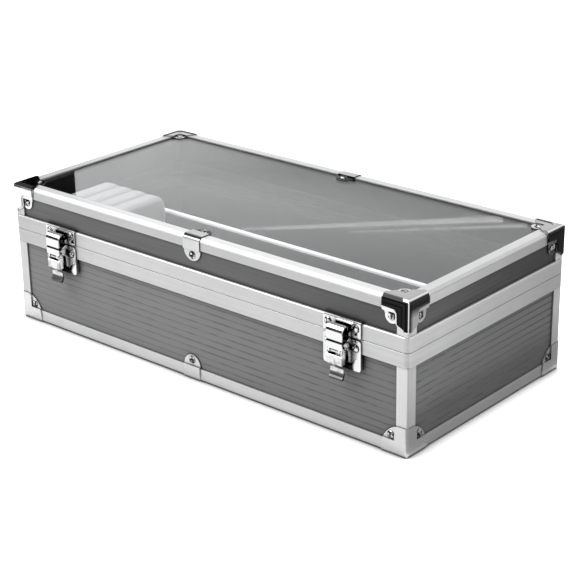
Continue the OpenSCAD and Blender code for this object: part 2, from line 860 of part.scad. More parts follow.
module latch_base_plate_left() color("#dfe0e2") at_latch(-latch_x) latch_base_plate();
module latch_base_plate_right() color("#dfe0e2") at_latch(latch_x) latch_base_plate();
module latch_catch_plate_left() color("#dfe0e2") at_latch(-latch_x) catch_plate();
module latch_catch_plate_right() color("#dfe0e2") at_latch(latch_x) catch_plate();
module latch_lever_left() color("#e3e4e6") at_latch(-latch_x) lever();
module latch_lever_right() color("#e3e4e6") at_latch(latch_x) lever();
module latch_claw_left() color("#e3e4e6") at_latch(-latch_x) claw();
module latch_claw_right() color("#e3e4e6") at_latch(latch_x) claw();
module latch_claw_pins_left() color("#c9cacc") at_latch(-latch_x) claw_pin();
module latch_claw_pins_right() color("#c9cacc") at_latch(latch_x) claw_pin();

// one pin per latch, held by its heads outside the ears
module latch_lever_pins() color("#c9cacc")
    for (x0 = [-latch_x, latch_x])
        at_latch(x0) translate([0, lever_a[0], lever_a[1]]) rotate([0, 90, 0]) {
            cylinder(r = lever_pin_r, h = 2 * (cheek_in + cheek_t), center = true);
            for (s = [-1, 1])
                translate([0, 0, s * (cheek_in + cheek_t + 0.25)])
                    cylinder(r = ear_r - 0.2, h = 0.5, center = true);
        }

// hinges; y is the reach outward from the rim

module barrel(w) rotate([0, 90, 0]) difference() {
    cylinder(r = hinge_r, h = w, center = true);
    cylinder(r = hinge_pin_r + pin_gap, h = w + 1, center = true);
}

// a leaf's plate beyond the barrel, its neck to the barrel; up is 1 for the lid
module leaf_plate(up)
    translate([-hinge_w / 2, 0, base_h + (up > 0 ? leaf_clear : -leaf_far)])
    cube([hinge_w, leaf_t, leaf_far - leaf_clear]);

module neck(w, up)
    translate([-w / 2, 0, base_h + (up > 0 ? 0.9 : -leaf_clear - 0.3)])
    difference() {
        cube([w, hinge_out, leaf_clear - 0.6]);
        translate([-1, hinge_out, up > 0 ? -0.9 : leaf_clear + 0.3])
            rotate([0, 90, 0])
            cylinder(r = hinge_r - 0.4, h = w + 2);
    }

side_w = (hinge_w - mid_w) / 2 - gap;
side_x0 = hinge_w / 2 - side_w / 2;

module base_leaf()
    difference() {
        union() {
            leaf_plate(-1);
            for (s = [-1, 1])
                translate([s * side_x0, 0, 0]) {
                    translate([0, hinge_out, base_h]) barrel(side_w);
                    neck(side_w, -1);
                }
        }
        for (s = [-1, 1])
            translate([s * hinge_rivet_x, leaf_t, base_h - hinge_rivet_z]) into_rim()
                rivet_hole(plate_shank);
    }

// the stop lug turns down onto the base leaf when the lid is fully open
module stop_lug()
    translate([0, hinge_out, base_h])
    rotate([stop_rest, 0, 0])
    translate([-3, hinge_r - 0.5, -0.7])
    cube([6, stop_r - hinge_r + 0.5, 1.4]);

module lid_leaf()
    difference() {
        union() {
            leaf_plate(1);
            translate([0, hinge_out, base_h]) barrel(mid_w);
            neck(mid_w, 1);
            stop_lug();
        }
        for (s = [-1, 1])
            translate([s * hinge_rivet_x, leaf_t, base_h + hinge_rivet_z]) into_rim()
                rivet_hole(plate_shank);
    }

module hinge_base_leaf_left() color("#dfe0e2") at_hinge(-hinge_x) base_leaf();
module hinge_base_leaf_right() color("#dfe0e2") at_hinge(hinge_x) base_leaf();
module hinge_lid_leaf_left() color("#dfe0e2") at_hinge(-hinge_x) lid_leaf();
module hinge_lid_leaf_right() color("#dfe0e2") at_hinge(hinge_x) lid_leaf();

module hinge_pins() color("#c9cacc")
    for (x0 = [-hinge_x, hinge_x])
        at_hinge(x0) translate([0, hinge_out, base_h]) rotate([0, 90, 0]) {
            cylinder(r = hinge_pin_r, h = hinge_w, center = true);
            for (s = [-1, 1])
                translate([0, 0, s * (hinge_w / 2 + 0.3)])
                    cylinder(r = hinge_r - 0.5, h = 0.6, center = true);
        }

module base_rivets() color("#bfc0c2") {
    all_corners_side(base_ref, 1, base_rivet) rivet(face_shank);
    all_corners_flat(base_ref, 1, base_rivet) rivet(face_shank);
    base_clip_rivets() slotted_rivet(face_shank);
    latch_rivets(base_rivet_z) rivet(plate_shank, latch_head_h);
    hinge_rivets(base_h - hinge_rivet_z) rivet(plate_shank);
}

module lid_rivets() color("#bfc0c2") {
    all_corners_side(lid_ref, -1, side_rivet) rivet(face_shank);
    all_corners_flat(lid_ref, -1, top_rivet) rivet(face_shank);
    lid_clip_rivets() slotted_rivet(face_shank);
    latch_rivets(catch_rivet_z) rivet(plate_shank, latch_head_h);
    hinge_rivets(base_h + hinge_rivet_z) rivet(plate_shank);
}

module placed() translate([0, body_shift_y, 0]) children();

placed() base_floor_panel();
placed() base_front_panel();
placed() base_back_panel();
placed() base_left_panel();
placed() base_right_panel();
placed() bottom_rail_front();
placed() bottom_rail_back();
placed() bottom_rail_left();
placed() bottom_rail_right();
placed() base_corner_posts();
placed() base_rim();
placed() base_corner_guards();
placed() base_edge_clip_front();
placed() base_edge_clip_back();
placed() floor_lining();
placed() wall_linings();
placed() divider_end_channels();
placed() latch_base_plate_left();
placed() latch_base_plate_right();
placed() latch_lever_pins();
placed() hinge_base_leaf_left();
placed() hinge_base_leaf_right();
placed() hinge_pins();
placed() base_rivets();
placed() lid_window();
placed() lid_front_panel();
placed() lid_back_panel();
placed() lid_left_panel();
placed() lid_right_panel();
placed() lid_rail_front();
placed() lid_rail_back();
placed() lid_rail_left();
placed() lid_rail_right();
placed() lid_corner_posts();
placed() lid_rim();
placed() lid_guard_front_left();
placed() lid_guard_front_right();
placed() lid_guard_back_left();
placed() lid_guard_back_right();
placed() lid_edge_clip_front();
placed() lid_edge_clip_back();
placed() latch_catch_plate_left();
placed() latch_catch_plate_right();
placed() hinge_lid_leaf_left();
placed() hinge_lid_leaf_right();
placed() lid_rivets();
placed() latch_lever_left();
placed() latch_lever_right();
placed() latch_claw_left();
placed() latch_claw_right();
placed() latch_claw_pins_left();
placed() latch_claw_pins_right();
placed() divider_board();
placed() divider_edge_trim();
placed() foam_spacer_1();
placed() foam_spacer_2();
placed() foam_spacer_3();
placed() foam_spacer_4();
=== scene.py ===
"""Looks of the card slab storage box: materials, foam spacers, floor, lights and camera."""

import json
import math

import bmesh
import bpy
from mathutils import Matrix, Vector


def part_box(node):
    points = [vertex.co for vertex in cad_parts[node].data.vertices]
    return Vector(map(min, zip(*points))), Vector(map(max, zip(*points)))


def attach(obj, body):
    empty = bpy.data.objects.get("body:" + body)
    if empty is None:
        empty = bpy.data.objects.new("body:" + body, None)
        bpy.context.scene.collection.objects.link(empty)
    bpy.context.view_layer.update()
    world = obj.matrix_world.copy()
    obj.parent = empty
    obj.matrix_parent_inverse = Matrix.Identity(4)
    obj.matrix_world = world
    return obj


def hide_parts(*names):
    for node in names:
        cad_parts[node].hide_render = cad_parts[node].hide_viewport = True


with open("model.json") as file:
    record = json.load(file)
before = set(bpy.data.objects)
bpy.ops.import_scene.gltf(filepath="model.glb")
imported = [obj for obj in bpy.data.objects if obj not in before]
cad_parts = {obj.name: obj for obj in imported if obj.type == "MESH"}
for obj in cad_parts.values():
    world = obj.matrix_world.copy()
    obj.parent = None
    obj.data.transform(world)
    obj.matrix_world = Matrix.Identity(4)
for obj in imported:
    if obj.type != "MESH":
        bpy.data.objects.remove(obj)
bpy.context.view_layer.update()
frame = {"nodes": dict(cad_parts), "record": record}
nodes = frame["nodes"]
scene = bpy.context.scene


# node helpers

class Shader:
    """One material with a Principled BSDF and short ways to add nodes."""

    def __init__(self, name, color, metallic=0.0, roughness=0.5, **sockets):
        self.mat = bpy.data.materials.new(name)
        self.mat.use_nodes = True
        self.tree = self.mat.node_tree
        self.bsdf = self.tree.nodes["Principled BSDF"]
        self.set("Base Color", (*color, 1.0))
        self.set("Metallic", metallic)
        self.set("Roughness", roughness)
        for socket, value in sockets.items():
            self.set(socket.replace("_", " "), value)
        self.coords = self.add("ShaderNodeTexCoord").outputs["Object"]

    def set(self, socket, value):
        self.bsdf.inputs[socket].default_value = value

    def add(self, kind, **settings):
        node = self.tree.nodes.new(kind)
        for key, value in settings.items():
            setattr(node, key, value)
        return node

    def link(self, out, into):
        self.tree.links.new(out, into)

    def to(self, socket, out):
        self.link(out, self.bsdf.inputs[socket])

    def stretch(self, scale, offset=(0, 0, 0)):
        """Object coordinates times a scale per axis."""
        node = self.add("ShaderNodeMapping")
        node.inputs["Scale"].default_value = scale
        node.inputs["Location"].default_value = offset
        self.link(self.coords, node.inputs["Vector"])
        return node.outputs["Vector"]

    def noise(self, scale, vector=None, detail=3.0, rough=0.55):
        node = self.add("ShaderNodeTexNoise")
        node.inputs["Scale"].default_value = scale
        node.inputs["Detail"].default_value = detail
        node.inputs["Roughness"].default_value = rough
        self.link(vector or self.coords, node.inputs["Vector"])
        return node.outputs["Fac"]

    def span(self, value, low, high, to_low, to_high):
        """Maps a value from low..high to to_low..to_high, clamped."""
        node = self.add("ShaderNodeMapRange")
        limits = {"From Min": low, "From Max": high, "To Min": to_low, "To Max": to_high}
        for socket, number in limits.items():
            node.inputs[socket].default_value = number
        self.link(value, node.inputs["Value"])
        return node.outputs["Result"]

    def math(self, operation, a, b=None):
        node = self.add("ShaderNodeMath", operation=operation)
        for i, value in enumerate((a, b)):
            if isinstance(value, (int, float)):
                node.inputs[i].default_value = value
            elif value is not None:
                self.link(value, node.inputs[i])
        return node.outputs["Value"]

    def axis(self, name):
        node = self.add("ShaderNodeSeparateXYZ")
        self.link(self.coords, node.inputs["Vector"])
        return node.outputs[name]

    def depths(self):
        """How deep a point lies under the case's nearer end and nearer long side."""
        across = self.math("SUBTRACT", self.axis("Y"), SHIFT_Y)
        x = self.math("SUBTRACT", HALF_L, self.math("ABSOLUTE", self.axis("X")))
        y = self.math("SUBTRACT", HALF_W, self.math("ABSOLUTE", across))
        return x, y

    def depth(self):
        return self.math("MINIMUM", *self.depths())

    def raised(self):
        """How far a point of a lid guard stands out from the rails, round the rails' shaped edges too."""
        x, y = self.depths()
        z = self.math("SUBTRACT", LID_TOP, self.axis("Z"))

        def arc(a, b, radius):
            legs = [self.math("MAXIMUM", self.math("SUBTRACT", radius, v), 0.0) for v in (a, b)]
            square = self.math("ADD", *(self.math("MULTIPLY", v, v) for v in legs))
            return self.math("SUBTRACT", self.math("SQRT", square), radius)

        top = self.math("MAXIMUM", arc(x, z, EDGE_ARC), arc(y, z, EDGE_ARC))
        return self.math("MAXIMUM", top, arc(x, y, POST_ARC))

    def sides(self, front, end):
        """A level along the front and back, another along the ends, each from its first place to its last."""
        x, y = self.depths()
        on_end = self.span(self.math("SUBTRACT", y, x), 0.0, 0.002, 0.0, 1.0)
        along_x, along_y = (self.span(self.axis(a), *v) for a, v in (("X", front), ("Y", end)))
        node = self.add("ShaderNodeMix", data_type="FLOAT")
        for socket, out in zip(node.inputs[:1] + node.inputs[2:4], (on_end, along_x, along_y)):
            self.link(out, socket)
        return node.outputs[0]

    def tint(self, level):
        """The grey of a level."""
        return self.mix(level, gray(0.0), gray(1.0))

    def open_air(self, distance, low, high):
        """0 in folds and corners, 1 where nothing is near."""
        node = self.add("ShaderNodeAmbientOcclusion", samples=6)
        node.inputs["Distance"].default_value = distance
        return self.span(node.outputs["AO"], low, high, 0.0, 1.0)

    def open_or_low(self, distance, low, high, height):
        """As open_air, but the floor darkens nothing up to a height."""
        near_floor = self.span(self.axis("Z"), height, height * 1.5, 1.0, 0.0)
        return self.math("MAXIMUM", self.open_air(distance, low, high), near_floor)

    def mix(self, factor, a, b):
        """A colour between a and b."""
        node = self.add("ShaderNodeMix", data_type="RGBA")
        self.link(factor, node.inputs["Factor"])
        for socket, value in ((node.inputs[6], a), (node.inputs[7], b)):
            if isinstance(value, tuple):
                socket.default_value = (*value, 1.0)
            else:
                self.link(value, socket)
        return node.outputs[2]

    def bump(self, height, strength, distance):
        node = self.add("ShaderNodeBump")
        node.inputs["Strength"].default_value = strength
        node.inputs["Distance"].default_value = distance
        self.link(height, node.inputs["Height"])
        self.to("Normal", node.outputs["Normal"])


def gray(v):
    return (v, v, v * 1.01)


# in metres: the case's outer planes, how deep the centres of its rounded top and upright edges lie, and the
# height of the lowest scored line and the distance between them
HALF_L, HALF_W, SHIFT_Y, LID_TOP = 0.175, 0.084, 0.0005, 0.1027
EDGE_ARC, POST_ARC = 0.0039, 0.0024
SCORE_FIRST, SCORE_PITCH = 0.0135, 0.0047


# materials

def aluminium(name, along, front, end, face=None, lined=False, low=False):
    """Satin extrusion with fine lines along its length and painted shade in its folds; its tone, painted
    light and shade, is given along the front and along the ends. A face gives the painted tone of a lid
    rail's flat side. A lined one is black on its inner lip, a low one has painted shade towards the floor."""
    s = Shader(name, gray(0.66), metallic=0.4, roughness=0.38)
    fine = tuple(4.0 if axis in along else 900.0 for axis in "xyz")
    lines = s.noise(1.0, s.stretch(fine), detail=2.0)
    cloud = s.noise(14.0, detail=2.0)
    # painted light and shade: each side's tone set for how it catches the light, changing along its length
    color = s.tint(s.sides(front, end))
    # painted light and shade: a lid rail's flat side gets its own tone below its rounded top edge
    if face:
        under = s.math("SUBTRACT", LID_TOP, s.axis("Z"))
        color = s.mix(s.span(under, 0.003, 0.0038, 0.0, 1.0), color, s.tint(s.sides(*face)))
    spots = s.span(s.noise(70.0, detail=4.0), 0.35, 0.65, 0.0, 0.3)
    streaks = s.math("ADD", s.span(lines, 0.3, 0.7, 0.0, 0.7), spots)
    color = s.mix(s.span(streaks, 0.0, 1.0, 0.86, 1.0), gray(0.02), color)
    # painted shade: darker towards the floor
    if low:
        color = s.mix(s.span(s.axis("Z"), 0.0, 0.012, 0.0, 1.0), gray(0.4), color)
    if lined:
        lip = s.span(s.depth(), 0.0051, 0.0053, 0.0, 1.0)
        color = s.mix(lip, color, gray(0.015))
        s.to("Metallic", s.span(lip, 0.0, 1.0, 0.4, 0.0))
    # painted shade in folds and seams, left out close to the floor
    s.to("Base Color", s.mix(s.open_or_low(0.0025, 0.4, 0.85, 0.0018), gray(0.06), color))
    s.to("Roughness", s.span(s.math("ADD", lines, cloud), 0.7, 1.3, 0.31, 0.42))
    s.bump(lines, 0.06, 0.0002)
    return s.mat


def skin(s, color, filled=None, reach=0.0015):
    """A grey face on a board that is black through its thickness and inside, with painted shade near parts
    that stand out and in its folds as far as the reach. Filled grooves stay pale."""
    # painted shade near parts that stand out, then in folds and along steps
    color = s.mix(s.open_air(0.008, 0.45, 0.95), gray(0.02), color)
    fold = s.open_air(reach, 0.6, 0.92)
    if filled is not None:
        fold = s.math("MAXIMUM", fold, filled)
    color = s.mix(fold, gray(0.004), color)
    inside = s.span(s.depth(), 0.0026, 0.0028, 0.0, 1.0)
    s.to("Specular IOR Level", s.span(inside, 0.0, 1.0, 0.5, 0.05))
    return s.mix(inside, color, gray(0.008))


def base_laminate():
    """Grey laminate with scored lines that are dark in places and faint between."""
    s = Shader("laminate_scored", gray(0.19), roughness=0.45)
    z = s.axis("Z")
    wave = s.noise(1.0, s.stretch((9.0, 9.0, 30.0)), detail=2.0)
    bent = s.math("ADD", z, s.span(wave, 0.0, 1.0, -0.0007, 0.0007))
    row = s.math("DIVIDE", s.math("SUBTRACT", bent, SCORE_FIRST), SCORE_PITCH)
    near = s.math("ABSOLUTE", s.math("SUBTRACT", row, s.math("ROUND", row)))
    line = s.span(near, 0.05, 0.2, 1.0, 0.0)
    dash = s.span(s.noise(1.0, s.stretch((75.0, 75.0, 240.0)), detail=3.0), 0.42, 0.56, 0.0, 0.5)
    patch = s.span(s.noise(9.0, detail=1.0), 0.42, 0.58, 0.1, 1.0)
    far = s.sides((-0.17, 0.17, 0.0, 0.0), (-0.04, 0.06, 0.1, 0.9))
    deep = s.math("MULTIPLY", far, s.span(z, 0.02, 0.045, 0.1, 1.0))
    dash = s.math("MAXIMUM", s.math("MULTIPLY", dash, patch), deep)
    x, y = s.depths()
    clear = s.span(s.math("MAXIMUM", x, y), 0.0108, 0.0116, 0.0, 1.0)
    clear = s.math("MULTIPLY", clear, s.span(near, 0.3, 0.35, 1.0, 0.0))
    filled = s.math("MULTIPLY", clear, s.span(dash, 0.0, 1.0, 0.97, 0.3))
    streak = s.noise(1.0, s.stretch((14.0, 14.0, 420.0)), detail=4.0)
    # painted light and shade: a tone for each side and end, changing along it, and darker low down, most on
    # the ends
    level = s.sides((-0.02, 0.16, 0.195, 0.16), (-0.07, 0.07, 0.31, 0.235))
    low = s.sides((-0.02, 0.16, 0.195, 0.15), (-0.07, 0.07, 0.215, 0.17))
    tone = s.mix(s.span(z, 0.021, 0.034, 0.0, 1.0), s.tint(low), s.tint(level))
    tone = s.mix(s.span(streak, 0.35, 0.65, 0.86, 1.0), gray(0.09), tone)
    s.to("Base Color", skin(s, s.mix(s.math("MULTIPLY", line, dash), tone, gray(0.09)), filled))
    s.to("Roughness", s.span(streak, 0.3, 0.7, 0.4, 0.52))
    s.bump(streak, 0.08, 0.0003)
    return s.mat


def lid_laminate():
    """Plain darker laminate."""
    s = Shader("laminate_plain", gray(0.14), roughness=0.42)
    streak = s.noise(1.0, s.stretch((12.0, 12.0, 380.0)), detail=3.0)
    grain = s.noise(900.0, detail=2.0)
    # painted light and shade: a tone for each side and end, changing along it
    tone = s.tint(s.sides((0.06, 0.16, 0.107, 0.063), (-0.07, 0.07, 0.145, 0.03)))
    # darker streaky patches, stronger on the ends and towards the back
    dark_mottle = s.math("MULTIPLY", s.sides((-0.17, 0.17, 0.25, 0.25), (-0.07, 0.07, 0.4, 0.8)),
                  s.span(streak, 0.35, 0.6, 1.0, 0.0))
    s.to("Base Color", skin(s, s.mix(dark_mottle, tone, gray(0.03)), reach=0.0028))
    s.to("Roughness", s.span(grain, 0.3, 0.7, 0.38, 0.48))
    s.bump(grain, 0.05, 0.0001)
    return s.mat


def chrome(name, fold, top=None, ridged=False, dark_mottle=False, tab=False, band=None):
    """Bright plating with faint waviness, with painted shade in its folds. top holds the depth and the
    painted-reflection tone of a guard's flat top. A ridged guard has a painted dark reflection on its ridges:
    a mottled one also has mottled painted reflections round its rivets, and on the other the painted
    reflection is thinner on the end and pales low down. A lever is darker and mottled low down, and dark on
    its curled tab as painted shade. band is the height of the painted shade at a claw's groove."""
    s = Shader(name, gray(0.85), metallic=1.0, roughness=0.08)
    smear = s.noise(60.0, detail=3.0)
    s.to("Roughness", s.span(smear, 0.3, 0.7, 0.05, 0.13))
    color = s.mix(s.span(s.noise(25.0), 0.35, 0.7, 0.0, 1.0), gray(0.90), gray(0.82))
    # painted reflection: a guard's flat top takes a darker tone
    if top:
        depth, tone = top
        under = s.math("SUBTRACT", LID_TOP, s.axis("Z"))
        color = s.mix(s.span(under, depth, depth * 1.6, 0.0, 1.0), gray(tone), color)
    if ridged:
        x, y = s.depths()
        side = s.math("MAXIMUM", x, y)
        front = s.math("MULTIPLY", s.span(s.math("SUBTRACT", x, y), 0.003, 0.0042, 0.0, 1.0),
                       s.span(s.axis("Y"), -0.01, 0.0, 1.0, 0.0))
        low = s.math("MAXIMUM", s.span(under, 0.0008, 0.0014, 0.0, 1.0),
                     s.math("MULTIPLY", front, s.span(under, -0.0001, 0.0003, 0.0, 1.0)))
        off_edge = s.span(side, 0.00055, 0.0009, 0.0, 1.0)
        ridge = s.span(s.raised(), -0.0001, 0.0001, 0.0, 1.0)
        # painted reflection: the dark band that a rounded ridge would reflect, laid on the ridges
        ridge_reflection = s.math("MULTIPLY", s.math("MULTIPLY", ridge, low), off_edge)
        lines = s.noise(700.0, s.math("MINIMUM", side, under), detail=2.0)
        dark = s.mix(s.span(lines, 0.45, 0.7, 0.0, 1.0), gray(0.004), gray(0.05))
        if dark_mottle:
            # mottled painted reflections on the flats round the rivets, and a deeper painted reflection on
            # the ridges
            reflection_patches = s.span(s.noise(420.0, detail=1.0), 0.42, 0.56, 0.0, 1.0)
            flat = s.span(ridge, 0.0, 1.0, 1.0, 0.0)
            flat = s.math("MULTIPLY", flat, s.span(under, 0.0016, 0.002, 0.0, 1.0))
            color = s.mix(flat, color, s.mix(reflection_patches, gray(0.3), gray(0.02)))
            dark = s.mix(s.span(lines, 0.45, 0.7, 0.0, 1.0), gray(0.003), gray(0.012))
        else:
            # here the painted reflection is thinner on the end and pales low down
            end = s.span(s.math("SUBTRACT", y, x), 0.0, 0.0008, 0.0, 1.0)
            pale = s.span(under, 0.006, 0.012, 0.0, 1.0)
            pale = s.math("MULTIPLY", pale, s.span(side, 0.0012, 0.004, 0.0, 1.0))
            thin = s.mix(s.span(lines, 0.45, 0.7, 0.0, 1.0), gray(0.02), gray(0.08))
            dark = s.mix(end, dark, s.mix(pale, thin, gray(0.78)))
        color = s.mix(ridge_reflection, color, s.mix(s.span(under, 0.0016, 0.0026, 0.0, 1.0), gray(0.02), dark))
    if tab:
        # darker and mottled low down, and painted shade on the curled tab
        level = s.axis("Z")
        dull = s.mix(s.span(s.noise(330.0, detail=2.0), 0.42, 0.56, 0.0, 1.0), gray(0.5), gray(0.8))
        color = s.mix(s.span(level, 0.0555, 0.0575, 0.0, 1.0), dull, color)
        color = s.mix(s.span(level, 0.0455, 0.0465, 0.0, 1.0), gray(0.1), color)
    if band:
        # painted shade in the claw's groove
        level = s.math("ABSOLUTE", s.math("SUBTRACT", s.axis("Z"), band))
        color = s.mix(s.span(level, 0.0007, 0.0009, 0.0, 1.0), gray(0.02), color)
    # painted shade in folds
    s.to("Base Color", s.mix(s.open_air(fold, 0.45, 0.9), gray(0.01), color))
    s.bump(s.noise(160.0, detail=1.0), 0.08, 0.0003)
    return s.mat


def satin_steel(name, tone, metallic=1.0, bend=False):
    """Plated steel with a soft shine and painted shade in its folds; a clip also has a painted dark
    reflection along its bend.
    """
    s = Shader(name, gray(tone), metallic=metallic, roughness=0.26)
    s.to("Roughness", s.span(s.noise(90.0, detail=2.0), 0.3, 0.7, 0.22, 0.3))
    color = s.mix(s.span(s.noise(40.0), 0.35, 0.7, 0.0, 1.0), gray(tone + 0.04), gray(tone - 0.04))
    if bend:
        # painted dark reflection along the clip's bend
        under = s.math("SUBTRACT", LID_TOP, s.axis("Z"))
        off = s.math("ABSOLUTE", s.math("SUBTRACT", under, 0.0009))
        color = s.mix(s.span(off, 0.0004, 0.0007, 0.0, 1.0), gray(0.02), color)
    # painted shade in folds
    s.to("Base Color", s.mix(s.open_or_low(0.007, 0.4, 0.85, 0.004), gray(0.03), color))
    return s.mat


def rivet_steel():
    s = Shader("rivet_steel", gray(0.6), metallic=1.0, roughness=0.16)
    s.to("Roughness", s.span(s.noise(400.0), 0.3, 0.7, 0.12, 0.22))
    # painted glints and dark reflections in fine patches, then painted shade round the foot of each head
    color = s.mix(s.span(s.noise(620.0, detail=1.0), 0.43, 0.55, 0.0, 1.0), gray(0.8), gray(0.05))
    s.to("Base Color", s.mix(s.open_air(0.003, 0.72, 0.96), gray(0.01), color))
    return s.mat


def flock():
    """Black flocked lining board."""
    s = Shader("lining_flock", gray(0.008), roughness=0.95, Specular_IOR_Level=0.08)
    fuzz = s.noise(2600.0, detail=2.0)
    s.to("Base Color", s.mix(s.span(fuzz, 0.35, 0.65, 0.0, 1.0), gray(0.005), gray(0.012)))
    s.to("Roughness", s.span(fuzz, 0.3, 0.7, 0.88, 1.0))
    s.bump(fuzz, 0.5, 0.0004)
    return s.mat


def matt_plastic(name, value, scale=1200.0):
    s = Shader(name, gray(value), roughness=0.55)
    grain = s.noise(scale, detail=2.0)
    s.to("Base Color", s.mix(s.span(grain, 0.3, 0.7, 0.0, 1.0), gray(value * 0.94), gray(value * 1.04)))
    s.to("Roughness", s.span(grain, 0.3, 0.7, 0.48, 0.62))
    s.bump(grain, 0.08, 0.0001)
    return s.mat


def foam():
    """White closed-cell foam with fine cells."""
    s = Shader("foam_white", gray(0.5), roughness=0.85)
    cell = s.add("ShaderNodeTexVoronoi")
    cell.inputs["Scale"].default_value = 1500.0
    s.link(s.coords, cell.inputs["Vector"])
    cloud = s.noise(45.0, detail=3.0)
    color = s.mix(s.span(cloud, 0.3, 0.7, 0.0, 1.0), gray(0.33), gray(0.41))
    # painted shade where the blocks meet each other and the walls
    s.to("Base Color", s.mix(s.open_air(0.006, 0.3, 0.9), gray(0.26), color))
    s.to("Roughness", s.span(cell.outputs["Distance"], 0.0, 0.6, 0.78, 0.92))
    s.bump(cell.outputs["Distance"], 0.25, 0.0003)
    return s.mat


def acrylic():
    """Clear sheet. Shadow rays pass, so that the lamps light the inside."""
    s = Shader("acrylic_clear", (0.96, 0.98, 0.985), roughness=0.02, IOR=1.49, Transmission_Weight=1.0)
    s.to("Roughness", s.span(s.noise(30.0, detail=4.0), 0.45, 0.8, 0.0, 0.06))
    clear = s.add("ShaderNodeBsdfTransparent")
    clear.inputs["Color"].default_value = (0.92, 0.93, 0.935, 1.0)
    path = s.add("ShaderNodeLightPath")
    both = s.add("ShaderNodeMixShader")
    s.link(path.outputs["Is Shadow Ray"], both.inputs[0])
    s.link(s.bsdf.outputs["BSDF"], both.inputs[1])
    s.link(clear.outputs["BSDF"], both.inputs[2])
    s.link(both.outputs["Shader"], s.tree.nodes["Material Output"].inputs["Surface"])
    return s.mat


# copies of the one aluminium whose tones differ per side, along the length and on a rail's flat face: painted
# light and shade
ALU_X = aluminium("aluminium_x", "x", (-0.17, 0.17, 0.68, 0.7), (-0.07, 0.07, 0.7, 0.7))
ALU_BOTTOM = aluminium("aluminium_bottom", "x", (-0.17, 0.17, 0.78, 0.76), (-0.07, 0.07, 0.78, 0.78))
ALU_Y = aluminium("aluminium_y", "y", (-0.17, 0.17, 0.66, 0.66), (-0.07, 0.07, 0.66, 0.66),
                  ((-0.17, 0.17, 0.66, 0.66), (-0.05, 0.07, 0.92, 0.5)))
ALU_Z = aluminium("aluminium_z", "z", (-0.17, 0.0, 0.65, 0.76), (-0.07, 0.07, 0.97, 0.85))
ALU_LOW = aluminium("aluminium_low", "y", (-0.17, 0.17, 0.7, 0.7), (-0.07, 0.07, 0.85, 0.8), low=True)
ALU_RIM = aluminium("aluminium_rim", "xy", (-0.17, -0.1, 0.53, 0.63), (-0.05, 0.07, 0.98, 0.62), lined=True)
ALU_EDGED = aluminium("aluminium_edged", "x", (-0.17, 0.17, 0.8, 0.8), (-0.07, 0.07, 0.8, 0.8),
                      ((-0.17, 0.17, 0.55, 0.55), (-0.07, 0.07, 0.55, 0.55)))
LAMINATE = base_laminate()
LAMINATE_LID = lid_laminate()
# copies of one chrome: painted shade in folds, painted reflections on the guards' tops and ridges, and
# painted shade at the lever's tab and the claw's groove
CHROME = chrome("chrome_plate", 0.008)
CHROME_GUARD = chrome("chrome_guard", 0.003, top=(0.00025, 0.57), ridged=True)
CHROME_MOTTLED = chrome("chrome_guard_mottled", 0.003, top=(0.00025, 0.57), ridged=True, dark_mottle=True)
CHROME_LEFT = chrome("chrome_guard_left", 0.003, top=(0.00025, 0.46))
CHROME_DARK = chrome("chrome_guard_dark", 0.003, top=(0.0014, 0.03))
CHROME_LEVER = chrome("chrome_lever", 0.008, tab=True)
CHROME_CLAW = chrome("chrome_claw", 0.008, band=0.0671)
SATIN = satin_steel("satin_plate", 0.76, metallic=0.6)
CLIP = satin_steel("satin_clip", 0.62, bend=True)
RIVET = rivet_steel()
FLOCK = flock()
BLACK = matt_plastic("plastic_black", 0.016)
BOARD = matt_plastic("divider_black", 0.03, 600.0)
TRIM = matt_plastic("trim_white", 0.9)
FOAM = foam()
ACRYLIC = acrylic()

BY_SLOT = {
    "rim_aluminium": ALU_RIM, "panel_laminate": LAMINATE, "lid_laminate": LAMINATE_LID, "chrome": CHROME,
    "satin_steel": SATIN, "rivet_steel": RIVET, "lining": FLOCK, "black_plastic": BLACK,
    "divider_board": BOARD, "white_trim": TRIM, "white_foam": FOAM, "clear_acrylic": ACRYLIC,
}
BY_NAME = {
    "lid_rail_front": ALU_EDGED, "bottom_rail_front": ALU_BOTTOM, "bottom_rail_back": ALU_BOTTOM,
    "lid_guard_front_right": CHROME_GUARD, "lid_guard_back_right": CHROME_MOTTLED,
    "lid_guard_front_left": CHROME_DARK, "lid_guard_back_left": CHROME_LEFT,
    "lid_edge_clip_front": CLIP, "lid_edge_clip_back": CLIP,
    "latch_lever_left": CHROME_LEVER, "latch_lever_right": CHROME_LEVER,
    "latch_claw_left": CHROME_CLAW, "latch_claw_right": CHROME_CLAW,
}
slot_of = {p["node"]: p["material_slot"] for p in frame["record"]["subparts"]}


def material_of(name):
    """A piece's own material, that of the way a rail or post runs, or else that of the piece's slot."""
    if name in BY_NAME:
        return BY_NAME[name]
    if slot_of[name] != "aluminium_rail":
        return BY_SLOT[slot_of[name]]
    if "posts" in name:
        return ALU_Z
    if name.endswith(("left", "right")):
        return ALU_LOW if name.startswith("bottom") else ALU_Y
    return ALU_X


for name, obj in nodes.items():
    for slot in obj.material_slots:
        slot.material = material_of(name)


# foam spacers: softly rounded blocks with a slight belly and uneven faces

